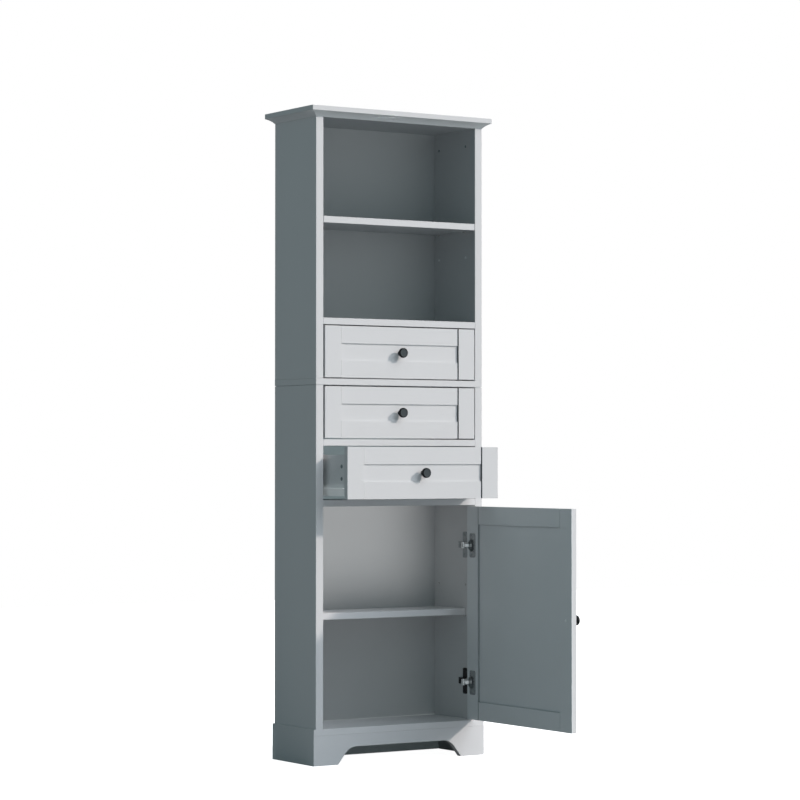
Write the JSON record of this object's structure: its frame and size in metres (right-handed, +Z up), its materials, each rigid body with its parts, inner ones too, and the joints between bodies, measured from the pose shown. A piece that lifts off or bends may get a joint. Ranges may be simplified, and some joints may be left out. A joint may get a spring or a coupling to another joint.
{
  "type": "tall bathroom cabinet",
  "caption": "Tall narrow bathroom cabinet of painted boards: open shelves above, framed drawers on steel runners in the middle, and a cupboard below with a framed door on concealed hinges.",
  "frame": {"origin": "on the floor, under the middle of the rear plinth board", "axes": "+X to the right seen from the front, -Y out of the front, +Z up"},
  "size_m": [0.56, 0.6898, 1.7],
  "materials": {
    "painted_board": "satin light grey paint",
    "back_panel": "satin light grey paint",
    "drawer_box": "matt light grey foil",
    "knob_black": "satin black paint",
    "runner_profile": "light grey powder coat",
    "runner_channel": "light grey powder coat",
    "hinge_plate_dark": "dark plated steel",
    "hinge_steel": "nickel plated steel",
    "hinge_cup_steel": "dark nickel plated steel",
    "pin_steel": "nickel plated steel"
  },
  "bodies": {
    "cabinet": {"top_board": "painted_board", "crown_board": "painted_board", "upper_left_side": "painted_board", "upper_right_side": "painted_board", "lower_left_side": "painted_board", "lower_right_side": "painted_board", "upper_back": "back_panel", "lower_back": "back_panel", "upper_shelf": "painted_board", "open_bay_floor": "painted_board", "upper_carcass_bottom": "painted_board", "drawer_divider": "painted_board", "door_bay_head": "painted_board", "door_bay_shelf": "painted_board", "base_board": "painted_board", "plinth_front": "painted_board", "plinth_left": "painted_board", "plinth_right": "painted_board", "plinth_rear": "painted_board", "shelf_pins": "pin_steel", "top_drawer_channels": "runner_channel", "middle_drawer_channels": "runner_channel", "bottom_drawer_channels": "runner_channel", "hinge_plates": "hinge_plate_dark", "hinge_arms": "hinge_steel"},
    "top_drawer": {"top_drawer_left_stile": "painted_board", "top_drawer_right_stile": "painted_board", "top_drawer_centre": "painted_board", "top_drawer_left_side": "drawer_box", "top_drawer_right_side": "drawer_box", "top_drawer_back": "drawer_box", "top_drawer_bottom": "drawer_box", "top_drawer_knob": "knob_black", "top_drawer_runners": "runner_profile"},
    "middle_drawer": {"middle_drawer_left_stile": "painted_board", "middle_drawer_right_stile": "painted_board", "middle_drawer_centre": "painted_board", "middle_drawer_left_side": "drawer_box", "middle_drawer_right_side": "drawer_box", "middle_drawer_back": "drawer_box", "middle_drawer_bottom": "drawer_box", "middle_drawer_knob": "knob_black", "middle_drawer_runners": "runner_profile"},
    "bottom_drawer": {"bottom_drawer_left_stile": "painted_board", "bottom_drawer_right_stile": "painted_board", "bottom_drawer_centre": "painted_board", "bottom_drawer_left_side": "drawer_box", "bottom_drawer_right_side": "drawer_box", "bottom_drawer_back": "drawer_box", "bottom_drawer_bottom": "drawer_box", "bottom_drawer_knob": "knob_black", "bottom_drawer_runners": "runner_profile"},
    "hinge_links": {"hinge_links": "hinge_steel"},
    "door": {"door_hinge_stile": "painted_board", "door_free_stile": "painted_board", "door_centre": "painted_board", "door_knob": "knob_black", "hinge_cups": "hinge_cup_steel"}
  },
  "joints": [
    {"name": "top_drawer_slide", "type": "slide", "parent": "cabinet", "child": "top_drawer", "axis": [0, -1, 0], "range_m": [0, 0.13]},
    {"name": "middle_drawer_slide", "type": "slide", "parent": "cabinet", "child": "middle_drawer", "axis": [0, -1, 0], "range_m": [0, 0.13]},
    {"name": "bottom_drawer_slide", "type": "slide", "parent": "cabinet", "child": "bottom_drawer", "axis": [0, -1, 0], "range_m": [-0.11, 0.02]},
    {"name": "hinge_link_swing", "type": "hinge", "parent": "cabinet", "child": "hinge_links", "pos_m": [0.2078, -0.1897, 0.38], "axis": [0, 0, 1], "range_deg": [-1.2, 21.05]},
    {"name": "door_turn", "type": "hinge", "parent": "hinge_links", "child": "door", "pos_m": [0.22324, -0.20248, 0.38], "axis": [0, 0, 1], "range_deg": [-111, 6]}
  ],
  "couplings": [
    {"joint": "hinge_link_swing", "follows": "door_turn", "ratio": -0.18919}
  ]
}
